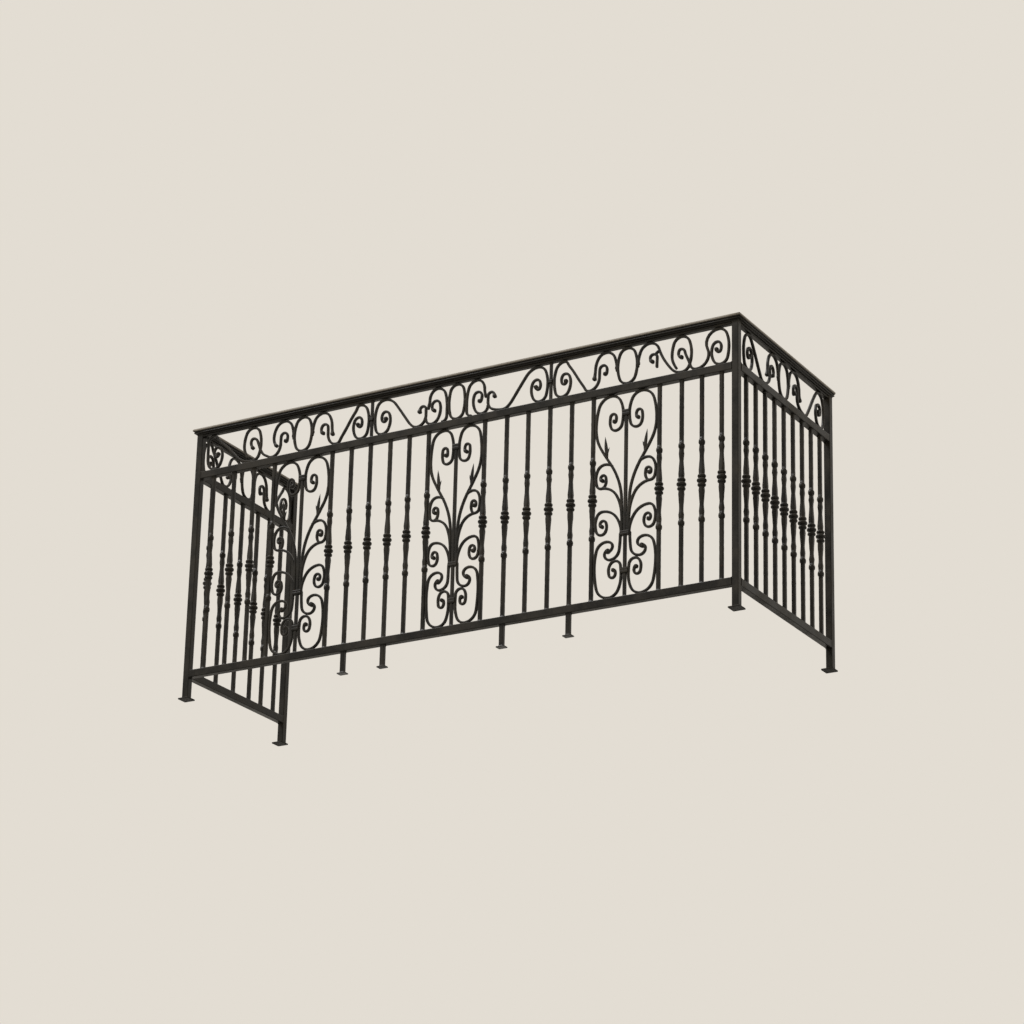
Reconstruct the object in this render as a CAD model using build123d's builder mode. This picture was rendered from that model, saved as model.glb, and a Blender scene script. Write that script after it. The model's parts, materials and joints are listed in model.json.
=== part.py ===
"""Iron balcony railing: a straight front with two short returns that end at the wall.

Square posts stand on small plates and carry a bottom rail, a middle rail and a handrail on a flat
top bar. Knuckled balusters and three scroll panels fill the space between the lower rails, and a
scrollwork frieze fills the band under the handrail. Millimetres, +Z up, the front faces -Y.
"""
import os
from math import atan, atan2, cos, degrees, radians, sin, sqrt

from build123d import *

# Overall sizes
front_width = 2250.0
return_depth = {"left": 640.0, "right": 760.0}
rail_height = 1060.0

# Posts, plates and rails
post_size = 25.0
plate_size = 45.0
plate_thick = 5.0
rail_section_height = 28.0
bottom_rail_top = 110.0
middle_rail_top = 887.0
top_bar_thick = 9.0
top_bar_width = 19.0
cap_overhang = 13.0
cap_thick = 22.5
cap_cove = 4.0
nosing_round = 10.0
foot_size = 16.0
foot_plate_size = 34.0
foot_plate_thick = 4.0

# Balusters
baluster_size = 13.0
flare_size = 22.0
flare_length = 104.0
knuckle_height = 478.0
knuckle_radius = 17.0
knuckle_ring = 11.0
side_ring_radius = 14.5
side_ring = 9.0
side_ring_rise = 16.5
bead_rises = [(113.0, 10.0), (138.0, 10.8)]
bead_height = 13.0
bead_taper = 20.0

# Setting out of the front, bar centres from the middle of a railing as wide as drawn here
drawn_width = 2250.0
left_end_bars = [-1045.0, -953.0, -864.0]
left_inner_bars = [-437.0, -355.0, -271.0, -190.0]
right_inner_bars = [214.0, 301.0, 389.0, 476.0]
right_end_bars = [905.0, 982.0, 1057.0]
panel_sides = [(-773.0, -520.0), (-109.0, 124.0), (562.0, 820.0)]
ring_middles = [-654.0, 4.0, 693.0]
left_return_bars = [86.0, 172.0, 284.0, 386.0, 464.0, 546.0]
right_return_count = 9

# Scrollwork
scroll_thick = 9.0
scroll_deep = 10.0
centre_bar_size = 11.0
leaf_deep = 5.0
ring_width = 76.0
middle_ring_width = 66.0
return_insets = {"left": {-1: 0.0, 1: 0.0}, "right": {-1: 37.0, 1: 22.0}}
seat_gap = 0.2

# Levels that follow from the sizes above
rail_width = post_size
bottom_rail_under = bottom_rail_top - rail_section_height
middle_rail_under = middle_rail_top - rail_section_height
cap_under = rail_height - cap_thick
top_bar_under = cap_under - top_bar_thick
panel_low = bottom_rail_top + seat_gap + scroll_thick / 2
panel_high = middle_rail_under - seat_gap - scroll_thick / 2
frieze_low = middle_rail_top + seat_gap + scroll_thick / 2
frieze_high = top_bar_under - seat_gap - scroll_thick / 2
baluster_length = middle_rail_under - bottom_rail_top

# Places that follow from the sizes above
overall_depth = max(return_depth.values()) + cap_overhang
front_y = cap_overhang - overall_depth / 2
wall_y = {side: front_y + depth for side, depth in return_depth.items()}
side_x = front_width / 2 - post_size / 2
front_line_y = front_y + post_size / 2
wall_line_y = {side: y - post_size / 2 for side, y in wall_y.items()}
clear_x = side_x - post_size / 2
clear_front_y = front_line_y + post_size / 2
clear_wall_y = {side: y - post_size / 2 for side, y in wall_line_y.items()}
stretch = front_width / drawn_width
bar_groups = [
    [x * stretch for x in group]
    for group in (left_end_bars, left_inner_bars, right_inner_bars, right_end_bars)
]
panel_sides = [(left * stretch, right * stretch) for left, right in panel_sides]
ring_middles = [x * stretch for x in ring_middles]
collar_bar_x = [bar_groups[1][1], bar_groups[2][2]]

front_plane = Plane(origin=(0, front_line_y, 0), x_dir=(1, 0, 0), z_dir=(0, -1, 0))
return_plane = {
    "left": Plane(origin=(-side_x, 0, 0), x_dir=(0, 1, 0), z_dir=(1, 0, 0)),
    "right": Plane(origin=(side_x, 0, 0), x_dir=(0, 1, 0), z_dir=(1, 0, 0)),
}
side_sign = {"left": -1, "right": 1}

os.makedirs("parts", exist_ok=True)


def save(piece, name):
    piece.part.label = name
    export_step(piece.part, f"parts/{name}.step")


def bend(stations):
    """Bends one bar through stations (x, z, heading), with two tangent arcs between neighbours."""
    for (x0, z0, turn0), (x1, z1, turn1) in zip(stations, stations[1:]):
        t0 = Vector(cos(radians(turn0)), sin(radians(turn0)))
        t1 = Vector(cos(radians(turn1)), sin(radians(turn1)))
        start, end = Vector(x0, z0), Vector(x1, z1)
        chord = end - start
        along = chord.dot(t0 + t1)
        spread = 2 * (1 - t0.dot(t1))
        reach = chord.dot(chord) / (along + sqrt(along**2 + spread * chord.dot(chord)))
        middle = (start + t0 * reach + end - t1 * reach) / 2
        TangentArc(start, middle, tangent=t0)
        TangentArc(end, middle, tangent=t1 * -1)


def fitted(stations, middle, side, hold, reach, drawn_low, low, rise):
    """Places stations (distance, z, heading): side is +1 or -1 from middle, hold is the distance kept as drawn."""
    placed = []
    for u, z, turn in stations:
        turn = degrees(atan2(rise * sin(radians(turn)), side * reach * cos(radians(turn))))
        placed.append((middle + side * (hold + (u - hold) * reach), low + (z - drawn_low) * rise, turn))
    return placed


# Posts and plates
post_places = {
    "corner_post_left": (-side_x, front_line_y, front_line_y),
    "corner_post_right": (side_x, front_line_y, front_line_y),
    "wall_post_left": (-side_x, wall_line_y["left"], wall_y["left"] - plate_size / 2),
    "wall_post_right": (side_x, wall_line_y["right"], wall_y["right"] - plate_size / 2),
}
for name, (x, y, plate_y) in post_places.items():
    with BuildPart() as post:
        with BuildSketch(Plane.XY.offset(plate_thick)):
            with Locations((x, y)):
                Rectangle(post_size, post_size)
        extrude(amount=cap_under - plate_thick)
    save(post, name)
    with BuildPart() as plate:
        with BuildSketch():
            with Locations((x, plate_y)):
                Rectangle(plate_size, plate_size)
        extrude(amount=plate_thick)
        chamfer(plate.edges().group_by(Axis.Z)[-1], plate_thick / 3)
    save(plate, name.replace("post", "post_plate"))

# Straight rails between the posts
rail_levels = {
    "bottom_rail": (bottom_rail_under, rail_section_height, rail_width),
    "middle_rail": (middle_rail_under, rail_section_height, rail_width),
    "top_bar": (top_bar_under, top_bar_thick, top_bar_width),
}
for name, (under, height, width) in rail_levels.items():
    with BuildPart() as rail:
        with BuildSketch(Plane.XY.offset(under)):
            with Locations((0, front_line_y)):
                Rectangle(2 * clear_x, width)
        extrude(amount=height)
    save(rail, f"{name}_front")
    for side, sign in side_sign.items():
        with BuildPart() as rail:
            with BuildSketch(Plane.XY.offset(under)):
                with Locations((sign * side_x, (clear_front_y + clear_wall_y[side]) / 2)):
                    Rectangle(width, clear_wall_y[side] - clear_front_y)
            extrude(amount=height)
        save(rail, f"{name}_{side}")


def cap_profile():
    """Moulded handrail section: a small cove under a nosing with a rounded upper edge."""
    half = post_size / 2
    lip = half + cap_overhang
    bend_low = cap_cove * sin(radians(45))
    bend_high = nosing_round * sin(radians(45))
    with BuildLine() as outline:
        Line((0, 0), (half, 0))
        ThreePointArc((half, 0), (half + cap_cove - bend_low, bend_low), (half + cap_cove, cap_cove))
        Polyline((half + cap_cove, cap_cove), (lip - 1, cap_cove), (lip, cap_cove + 1), (lip, cap_thick - nosing_round))
        ThreePointArc(
            (lip, cap_thick - nosing_round),
            (lip - nosing_round + bend_high, cap_thick - nosing_round + bend_high),
            (lip - nosing_round, cap_thick),
        )
        Line((lip - nosing_round, cap_thick), (0, cap_thick))
        mirror(about=Plane.YZ)
    make_face(outline.edges())


# Handrail, mitred at the two front corners
with BuildPart() as handrail:
    with BuildSketch(Plane(origin=(0, front_line_y, cap_under), x_dir=(0, 1, 0), z_dir=(1, 0, 0))):
        cap_profile()
    extrude(amount=side_x + plate_size, both=True)
    for side, sign in side_sign.items():
        split(
            bisect_by=Plane(origin=(sign * side_x, front_line_y, 0), z_dir=(sign, 1, 0)),
            keep=Keep.BOTTOM,
        )
save(handrail, "handrail_front")
for side, sign in side_sign.items():
    with BuildPart() as handrail:
        with BuildSketch(Plane(origin=(sign * side_x, wall_y[side], cap_under), x_dir=(1, 0, 0), z_dir=(0, -1, 0))):
            cap_profile()
        extrude(amount=return_depth[side] + plate_size)
        split(
            bisect_by=Plane(origin=(sign * side_x, front_line_y, 0), z_dir=(sign, 1, 0)),
            keep=Keep.TOP,
        )
    save(handrail, f"handrail_{side}")

# Short feet under the bottom rail of the front
feet_x = [bar_groups[1][0], bar_groups[1][2], bar_groups[2][0], bar_groups[2][3]]
with BuildPart() as feet:
    with BuildSketch():
        with Locations(*[(x, front_line_y) for x in feet_x]):
            Rectangle(foot_plate_size, rail_width)
    extrude(amount=foot_plate_thick)
    with BuildSketch(Plane.XY.offset(foot_plate_thick)):
        with Locations(*[(x, front_line_y) for x in feet_x]):
            Rectangle(foot_size, foot_size)
    extrude(amount=bottom_rail_under - foot_plate_thick)
save(feet, "rail_feet")


def square_bars(places, under, length, size):
    with BuildSketch(Plane.XY.offset(under)) as section:
        with Locations(*places):
            Rectangle(size, size)
    extrude(section.sketch, amount=length)


def forged_bar():
    """One baluster on the z axis: it swells to a knuckle of three rings, with two beads above and below."""
    shrink = degrees(atan((flare_size - baluster_size) / 2 / flare_length))
    with BuildPart() as bar:
        square_bars([(0, 0)], bottom_rail_top, baluster_length, baluster_size)
        with Locations((0, 0, knuckle_height)):
            Cylinder(knuckle_radius, knuckle_ring)
        for direction in (1, -1):
            middle = Plane(origin=(0, 0, knuckle_height), x_dir=(1, 0, 0), z_dir=(0, 0, direction))
            with BuildSketch(middle):
                Rectangle(flare_size, flare_size)
            extrude(amount=flare_length, taper=shrink)
            with Locations(middle.offset(side_ring_rise)):
                Cylinder(side_ring_radius, side_ring)
            for rise, radius in bead_rises:
                with BuildSketch(middle.offset(rise)) as bead:
                    RegularPolygon(radius, 8, rotation=22.5)
                extrude(bead.sketch, amount=bead_height / 2, taper=bead_taper, both=True)
    return bar.part


one_bar = forged_bar()


def bar_group(name, places):
    with BuildPart() as bars:
        with Locations(*places):
            add(one_bar)
    save(bars, name)


for number, group in enumerate(bar_groups, start=1):
    bar_group(f"balusters_front_{number}", [(x, front_line_y) for x in group])
depth_stretch = return_depth["left"] / 640.0
bar_group("balusters_left", [(-side_x, front_line_y + y * depth_stretch) for y in left_return_bars])
right_pitch = (wall_line_y["right"] - front_line_y) / (right_return_count + 1)
bar_group("balusters_right", [(side_x, front_line_y + right_pitch * (k + 1)) for k in range(right_return_count)])

# Scroll panel, right half, drawn for a panel 250 wide and measured from its middle
flank = 114.8
drawn_low = 113.7
drawn_high = 855.3
stem = centre_bar_size / 2 + scroll_thick / 2
collar_z = 339.0
low_collar_z = 203.0
high_collar_z = 783.0
heart_scroll = [
    (stem + 3, collar_z, 90),
    (stem + 5, 466, 88),
    (58, 602, 58),
    (flank - 18, 668, 62),
    (flank, 744, 90),
    (58, drawn_high, 180),
    (stem + 2, high_collar_z, 270),
    (40, 724, 0),
    (62, 758, 90),
    (49, 787, 180),
    (38, 771, 270),
    (46, 758, 0),
]
upper_scroll = [
    (52, 594, 40),
    (80, 604, 0),
    (flank - 1.8, 558, 270),
    (92, 517, 180),
    (74, 543, 90),
    (85, 565, 0),
    (95, 555, 270),
    (88, 546, 180),
]
upper_branch = [(stem + 4, 400, 90), (92, 517, 0)]
lower_scroll = [
    (stem + 5, collar_z, 90),
    (86, 431, 0),
    (flank - 1.6, 388, 270),
    (90, 346, 180),
    (70, 373, 90),
    (84, 397, 0),
    (95, 385, 270),
    (87, 376, 180),
]
hook_scroll = [(18, collar_z, 270), (55, 250, 0), (77, 272, 90), (63, 285, 180)]
base_scroll = [
    (66, 281, 180),
    (47, 299, 90),
    (72, 318, 0),
    (flank, 232, 270),
    (60, drawn_low, 180),
    (stem + 4, 186, 90),
    (37, 243, 0),
    (61, 212, 270),
    (47, 184, 180),
    (35, 199, 90),
    (44, 211, 0),
]
panel_strands = [heart_scroll, upper_scroll, upper_branch, lower_scroll, hook_scroll, base_scroll]
leaf_outline = [
    (68, 616), (63, 644), (61, 666), (70, 654), (80, 708), (86, 656), (96, 664), (90, 642), (82, 624)
]
panel_collars = [(collar_z, 38, 16), (low_collar_z, 30, 20), (high_collar_z, 30, 22)]
collar_deep = 16.0
panel_rise = (panel_high - panel_low) / (drawn_high - drawn_low)


def scroll_panel(x, width):
    real_flank = width / 2 - baluster_size / 2 - seat_gap - scroll_thick / 2
    reach = (real_flank - stem) / (flank - stem)
    with BuildSketch(front_plane) as strands:
        for strand in panel_strands:
            for side in (1, -1):
                with BuildLine():
                    bend(fitted(strand, x, side, stem, reach, drawn_low, panel_low, panel_rise))
                trace(line_width=scroll_thick)
    extrude(strands.sketch, amount=scroll_deep / 2, both=True)
    with BuildSketch(front_plane) as leaves:
        for side in (1, -1):
            tips = [(u, z, 0) for u, z in leaf_outline]
            tips = fitted(tips, x, side, stem, reach, drawn_low, panel_low, panel_rise)
            with BuildLine():
                Polyline(*[(u, z) for u, z, turn in tips], close=True)
            make_face()
    extrude(leaves.sketch, amount=leaf_deep / 2, both=True)
    with BuildSketch(front_plane) as collars:
        for z, collar_width, height in panel_collars:
            with Locations((x, panel_low + (z - drawn_low) * panel_rise)):
                Rectangle(collar_width, height)
    extrude(collars.sketch, amount=collar_deep / 2, both=True)
    with BuildSketch(front_plane) as bar_hole:
        with Locations((x, (bottom_rail_top + middle_rail_under) / 2)):
            Rectangle(centre_bar_size, baluster_length)
    extrude(bar_hole.sketch, amount=centre_bar_size / 2, both=True, mode=Mode.SUBTRACT)


centre_bar_length = panel_low + (high_collar_z - drawn_low) * panel_rise + 11 - bottom_rail_top
for number, (left, right) in enumerate(panel_sides, start=1):
    bar_group(f"panel_{number}_side_bars", [(left, front_line_y), (right, front_line_y)])
    middle_x = (left + right) / 2
    with BuildPart() as centre_bar:
        square_bars([(middle_x, front_line_y)], bottom_rail_top, centre_bar_length, centre_bar_size)
    save(centre_bar, f"panel_{number}_centre_bar")
    with BuildPart() as scrolls:
        scroll_panel(middle_x, right - left)
    save(scrolls, f"panel_{number}_scrolls")

# Frieze, drawn in a band from band_low to band_high and measured outwards from the middle of a ring
band_low = 890.7
band_high = 1024.8
band_mid = (band_low + band_high) / 2
band_rise = (frieze_high - frieze_low) / (band_high - band_low)
eye_rise = 110.0


def ring_outline(width):
    half = width / 2
    return [
        (half, band_mid, 90),
        (0, band_high, 180),
        (-half, band_mid, 270),
        (0, band_low, 0),
        (half, band_mid, 90),
    ]


def arch(ring):
    """Short arch that leaves the ring's flank and hangs down on its far side."""
    near = ring / 2 + 3
    return [(near, 946, 90), (near + 44, band_high, 0), (near + 85, 970, 273), (near + 89, 932, 278)]


def loop_start(stop):
    """Big spiral loop that leans on a bar or post whose face is at stop."""
    near = stop - seat_gap - scroll_thick / 2
    return [
        (near - 47, 950, 270),
        (near - 39, 938, 0),
        (near - 29, 956, 90),
        (near - 44, 977, 180),
        (near - 66, 941, 270),
        (near - 32, band_low, 0),
        (near, 956, 90),
        (near - 40, band_high, 180),
    ]


def slope(stop, valley):
    """Loop at stop, then a straight slope down to the valley."""
    near = stop - seat_gap - scroll_thick / 2
    slack = 182 - (near - valley)
    return loop_start(stop) + [
        (near - 87 + 0.6 * slack, 1000, 234),
        (near - 142 + 0.7 * slack, 920, 236),
        (valley, band_low, 180),
    ]


def eye_end(shift=0.0):
    """Rising end of a scroll, up to a small eye under the arch."""
    return [
        (eye_rise - shift, 937, 90),
        (eye_rise - 15 - shift, 978, 180),
        (eye_rise - 30 - shift, 960, 270),
        (eye_rise - 21 - shift, 944, 0),
    ]


def half_motif(stop):
    """One S-scroll from the bar at stop down to the valley and up to its small eye."""
    return [slope(stop, 0.5 * stop + 2) + eye_end(), arch(ring_width)]


def middle_motif(stop):
    """Beside the middle ring the S-scroll ends in a tip and a spiral of its own fills the arch."""
    tip = [(129, 930, 90), (142, 967, 0), (156, 947, 272)]
    spiral = [
        (129, 916, 270),
        (105, band_low, 180),
        (68, 945, 90),
        (87, 978, 0),
        (104, 960, 270),
        (93, 941, 180),
    ]
    foot_arch = [(60, band_low, 180), (41, 945, 90), (82, band_high, 0), (114, 985, 270), (119, 953, 275)]
    return [slope(stop, stop - 186) + tip, spiral, foot_arch]


def left_end_motif(stop):
    """Long bay: the loop at the post runs down into an oval, which holds the eye of a second scroll."""
    oval = stop / 2
    first = loop_start(stop - 16)[:-1] + [
        (stop - 43, band_high, 180),
        (stop - 80, 994, 220),
        (oval, band_low, 180),
        (oval - 37, band_mid, 90),
        (oval, band_high, 0),
        (oval + 38, band_mid, 270),
        (oval + 20, band_low + 18, 238),
    ]
    second = [
        (oval - 1, 943, 60),
        (oval + 8, 966, 90),
        (oval - 2, 981, 180),
        (oval - 30, 944, 252),
        (oval - 62, 901, 205),
        (136, band_low, 180),
    ]
    near = ring_width / 2 + 3
    curled_arch = [(near, 946, 90), (near + 44, band_high, 0), (near + 88, 965, 270), (near + 75, 932, 225)]
    return [first, second + eye_end(12), curled_arch]


def right_end_motif(stop):
    """Long bay on the right: the arch itself runs down into the oval, and a short hook hangs under it."""
    oval = stop / 2 + 7
    near = ring_width / 2 + 3
    long_arch = [
        (near, 946, 90),
        (near + 46, band_high, 0),
        (near + 104, 948, 301),
        (oval, band_low, 0),
        (oval + 38, band_mid, 90),
        (oval, band_high, 180),
        (oval - 37, band_mid, 270),
        (oval - 20, band_low + 18, 302),
    ]
    inner_eye = [
        (oval + 58, band_low, 180),
        (oval + 20, 944, 115),
        (oval - 2, 978, 180),
        (oval - 12, 962, 270),
        (oval, 947, 0),
    ]
    hook = [(115, 930, 90), (116, 968, 90), (101, 980, 180), (89, 967, 270), (98, 953, 0)]
    link = [(112, 980, 60), (126, 990, 20)]
    return [long_arch, loop_start(stop - 11) + inner_eye, hook, link]


def frieze(plane, ring_x, ring, sides):
    """Scrollwork about one ring; sides holds the strands for each direction, +1 or -1."""
    with BuildSketch(plane) as scrollwork:
        for side, strands in sides.items():
            for stations in strands + [ring_outline(ring)]:
                with BuildLine():
                    bend(fitted(stations, ring_x, side, 0, 1, band_low, frieze_low, band_rise))
                trace(line_width=scroll_thick)
    extrude(scrollwork.sketch, amount=scroll_deep / 2, both=True)


collar_bar_size = 10.0
collar_knob_size = 17.0
collar_knob_height = 12.0
bar_face = collar_knob_size / 2
left_ring, middle_ring, right_ring = ring_middles
left_collar, right_collar = collar_bar_x
with BuildPart() as frieze_left:
    sides = {-1: left_end_motif(clear_x + left_ring), 1: half_motif(left_collar - left_ring - bar_face)}
    frieze(front_plane, left_ring, ring_width, sides)
save(frieze_left, "frieze_front_left")
with BuildPart() as frieze_middle:
    stops = {-1: middle_ring - left_collar - bar_face, 1: right_collar - middle_ring - bar_face}
    sides = {side: middle_motif(stop) for side, stop in stops.items()}
    frieze(front_plane, middle_ring, middle_ring_width, sides)
save(frieze_middle, "frieze_front_middle")
with BuildPart() as frieze_right:
    sides = {1: right_end_motif(clear_x - right_ring), -1: half_motif(right_ring - right_collar - bar_face)}
    frieze(front_plane, right_ring, ring_width, sides)
save(frieze_right, "frieze_front_right")

frieze_mid = (frieze_low + frieze_high) / 2
with BuildPart() as frieze_bars:
    places = [(x, front_line_y) for x in collar_bar_x]
    square_bars(places, middle_rail_top, top_bar_under - middle_rail_top, collar_bar_size)
    square_bars(places, frieze_mid - collar_knob_height / 2, collar_knob_height, collar_knob_size)
save(frieze_bars, "frieze_bars")

for side, plane in return_plane.items():
    return_mid = (clear_front_y + clear_wall_y[side]) / 2
    return_stop = clear_wall_y[side] - return_mid
    motifs = {sign: half_motif(return_stop - inset) for sign, inset in return_insets[side].items()}
    with BuildPart() as frieze_return:
        frieze(plane, return_mid, ring_width, motifs)
    save(frieze_return, f"frieze_{side}")
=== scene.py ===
"""Looks of the iron balcony railing, built around its packed construction model.

Tubes, forged balusters, scrolls, collars, leaves and the moulded handrail are worked out as surfaces
and given their paint. Metres, +Z up, the front faces -Y.
"""
import json

import bpy
import numpy as np
from mathutils import Matrix, Vector


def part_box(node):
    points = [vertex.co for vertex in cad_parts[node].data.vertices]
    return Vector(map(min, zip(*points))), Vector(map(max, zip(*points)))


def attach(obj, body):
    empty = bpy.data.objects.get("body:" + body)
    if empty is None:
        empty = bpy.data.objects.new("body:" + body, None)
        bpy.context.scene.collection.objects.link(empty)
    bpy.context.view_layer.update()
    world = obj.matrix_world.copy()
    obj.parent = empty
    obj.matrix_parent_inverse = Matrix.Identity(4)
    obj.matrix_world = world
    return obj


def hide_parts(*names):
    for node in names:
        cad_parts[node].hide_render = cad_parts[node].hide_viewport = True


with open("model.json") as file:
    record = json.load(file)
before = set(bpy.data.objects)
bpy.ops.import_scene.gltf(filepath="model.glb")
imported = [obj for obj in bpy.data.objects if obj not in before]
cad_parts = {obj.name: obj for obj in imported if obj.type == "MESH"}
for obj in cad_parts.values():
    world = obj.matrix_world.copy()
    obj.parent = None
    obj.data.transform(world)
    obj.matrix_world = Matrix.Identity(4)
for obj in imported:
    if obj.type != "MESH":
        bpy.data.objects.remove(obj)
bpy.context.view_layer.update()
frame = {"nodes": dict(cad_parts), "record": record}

bl_info = {
    "name": "Iron Balcony Railing",
    "version": (1, 0, 0),
    "blender": (4, 5, 0),
    "location": "View3D > Sidebar > Railing",
    "description": "Dresses a wrought iron balcony railing with forged surfaces and satin paint",
    "category": "Object",
}

BODY = "root"
MM = 0.001
SIDES = ("left", "right")
UP = (0.0, 0.0, 1.0)
ALONG_FRONT = (1.0, 0.0, 0.0)


# Places that the construction model gives, in metres
def low(node):
    """Lowest corner of a node's box."""
    return np.array(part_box(node)[0], float)


def high(node):
    """Highest corner of a node's box."""
    return np.array(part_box(node)[1], float)


def centre(node):
    """Middle of a node's box."""
    return (low(node) + high(node)) / 2


SIDE_X = float(centre("corner_post_right")[0])
FRONT_LINE_Y = float(centre("corner_post_right")[1])
WALL_Y = {side: float(high(f"handrail_{side}")[1]) for side in SIDES}
POST_SIZE = float(high("corner_post_right")[0] - low("corner_post_right")[0])
BOTTOM_RAIL_UNDER = float(low("bottom_rail_front")[2])
BOTTOM_RAIL_TOP = float(high("bottom_rail_front")[2])
MIDDLE_RAIL_UNDER = float(low("middle_rail_front")[2])
MIDDLE_RAIL_TOP = float(high("middle_rail_front")[2])
TOP_BAR_UNDER = float(low("top_bar_front")[2])
CAP_UNDER = float(low("handrail_front")[2])
CAP_TOP = float(high("handrail_front")[2])
CAP_REACH = float(high("handrail_right")[0]) - SIDE_X
CLEAR_X = SIDE_X - POST_SIZE / 2
CLEAR_WALL_Y = {side: WALL_Y[side] - POST_SIZE for side in SIDES}

# Setting out of the bars in metres, repeated from the part's source and stretched to the frame
DRAWN_WIDTH = 2.25
DRAWN_LEFT_DEPTH = 0.64
STRETCH = 2 * (SIDE_X + POST_SIZE / 2) / DRAWN_WIDTH
BAR_GROUPS = {
    "balusters_front_1": [-1.045, -0.953, -0.864],
    "balusters_front_2": [-0.437, -0.355, -0.271, -0.190],
    "balusters_front_3": [0.214, 0.301, 0.389, 0.476],
    "balusters_front_4": [0.905, 0.982, 1.057],
}
# The feet stand under four of these bars, and the frieze bars over two others
SECOND, THIRD = BAR_GROUPS["balusters_front_2"], BAR_GROUPS["balusters_front_3"]
FEET_X = [SECOND[0], SECOND[2], THIRD[0], THIRD[3]]
FRIEZE_BARS_X = [SECOND[1], THIRD[2]]
PANEL_SIDES = [(-0.773, -0.520), (-0.109, 0.124), (0.562, 0.820)]
RING_MIDDLES = [-0.654, 0.004, 0.693]
LEFT_RETURN_BARS = [0.086, 0.172, 0.284, 0.386, 0.464, 0.546]
RIGHT_RETURN_COUNT = 9

# Handrail moulding
NOSING_TALL = 12.4 * MM
CAP_COVE = 3 * MM
CAP_BEAD = 3 * MM
CAP_STEP = 4 * MM
# Its rings: how many a run has, and how far they stay off an end and a mitre
RUN_RINGS = 24
END_CLEAR, MITRE_CLEAR = 0.2 * MM, 2 * MM

# Base plates with their weld fillets, and the feet under the front rail
PLATE_TALL = float(high("corner_post_plate_right")[2])
FOOT_PLATE_WIDE = 34 * MM
FOOT_PLATE_TALL = 4 * MM
FOOT_LEG = 16 * MM
FOOT_CORNER = 1.5 * MM
FILLET_CORNER = 2.4 * MM

# Forged balusters, in millimetres, with places counted from the middle of the knuckle
KNUCKLE_HEIGHT = 478.0
BALUSTER_HALF = 6.5
WAIST_WITHIN, WAIST_THINNER = 130, 0.5
TAPER_LONG, TAPER_RISE = 84, 4.6
NECK_WITHIN, NECK_HALF = 20, 10.6
SWELL_PLACE, SWELL_LONG, SWELL_RISE = 112, 11, 2.6
# Place, half height and reach of the three rings of the knuckle and of the two ball beads
BALUSTER_RINGS = [(0, 6.8, 17.2), (-16.2, 5.6, 14.6), (16.2, 5.6, 14.6), (-140, 8.6, 11.6), (140, 8.6, 11.6)]
# Powers of the outline: 2 is a circle, 9 nearly a square
SHAFT_POWER, SWELL_POWER, NECK_POWER, RING_POWER = 9.0, 4.0, 2.4, 2.0
ROUND_WITHIN, SQUARE_BEYOND = 24, 31

# Scrolls and bars beside them, in millimetres
CENTRE_BAR = 11.0
FRIEZE_BAR = 10.0
FRIEZE_KNOB, FRIEZE_KNOB_TALL = 17.0, 12.0
FRIEZE_COLLAR, FRIEZE_COLLAR_WIDE = 10.0, 14.0
BAR_CORNER = 1.4
SEAT_GAP = 0.2
RING_WIDTH = 76.0
MIDDLE_RING_WIDTH = 66.0
EYE_SWELL, EYE_LONG = 0.55, 8.0
DOME_RINGS = 4

# How far along a bar a weld bead fades, in millimetres
TUBE_WELD_LONG = 2.4
BALUSTER_WELD_LONG = 2.6

# Rings of a straight bar: close together for the weld bead at each end, then one each step beyond it
WELD_CLEAR, RING_STEP = 14 * MM, 60 * MM


class RailingSizes(bpy.types.PropertyGroup):
    """Sizes of the forged pieces that a user would change."""

    scroll_thick: bpy.props.FloatProperty(
        name="Scroll thickness", default=9 * MM, unit="LENGTH",
        description="Scroll bar measured in the panel's plane",
    )
    scroll_deep: bpy.props.FloatProperty(
        name="Scroll depth", default=10 * MM, unit="LENGTH",
        description="Scroll bar measured through the panel",
    )
    scroll_power: bpy.props.FloatProperty(
        name="Scroll squareness", default=5.0, min=2.0, max=20.0,
        description="2 makes the scroll bar round, 20 square",
    )
    hammer: bpy.props.FloatProperty(
        name="Hammering", default=0.03, min=0.0, max=0.1, subtype="FACTOR",
        description="Share by which a forged bar's thickness wanders",
    )
    tube_round: bpy.props.FloatProperty(
        name="Tube corner radius", default=2.2 * MM, unit="LENGTH",
        description="Corner radius of the square tubes",
    )
    weld: bpy.props.FloatProperty(
        name="Weld bead", default=1.4 * MM, unit="LENGTH",
        description="How far a weld bead stands out at a joint",
    )


class RailingColours(bpy.types.PropertyGroup):
    """Colours of the paint, the dust and the rust."""

    paint: bpy.props.StringProperty(name="Paint", default="#11100D", description="Satin near-black paint")
    paint_worn: bpy.props.StringProperty(name="Worn paint", default="#322D24", description="Chalked paint")
    grime: bpy.props.StringProperty(name="Grime", default="#38342B", description="Fine brown-grey grime")
    # This dark colour serves the rain runs, and also the painted shade on faces that look down
    run: bpy.props.StringProperty(name="Rain run", default="#12110E", description="Runs washed by rain")
    dust: bpy.props.StringProperty(name="Dust", default="#6F685C", description="Dust on faces that look up")
    # Pale edge colour: worn paint and a painted highlight along the handrail's nosing
    rubbed_and_sheen: bpy.props.StringProperty(name="Worn edge and sheen", default="#A49C90", description="Worn pale paint, and painted sheen")
    rust: bpy.props.StringProperty(name="Rust", default="#4A2F1C", description="Rust in pits and at joints")


def sizes():
    """Sizes that the scene holds."""
    return bpy.context.scene.railing_sizes


def colours():
    """Colours that the scene holds."""
    return bpy.context.scene.railing_colours


# Surfaces
def squircle(power, count):
    """Closed outline of half width 1: each coordinate is its circle value to the power 2/power.

    power may be a column, one value a ring, so that a bar goes from square to round along its length.
    """
    angle = 2 * np.pi * (np.arange(count) + 0.5) / count
    shape = np.stack([np.cos(angle), np.sin(angle)], 1)
    return np.sign(shape) * np.abs(shape) ** (2 / np.asarray(power, float).reshape(-1, 1, 1))


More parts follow.
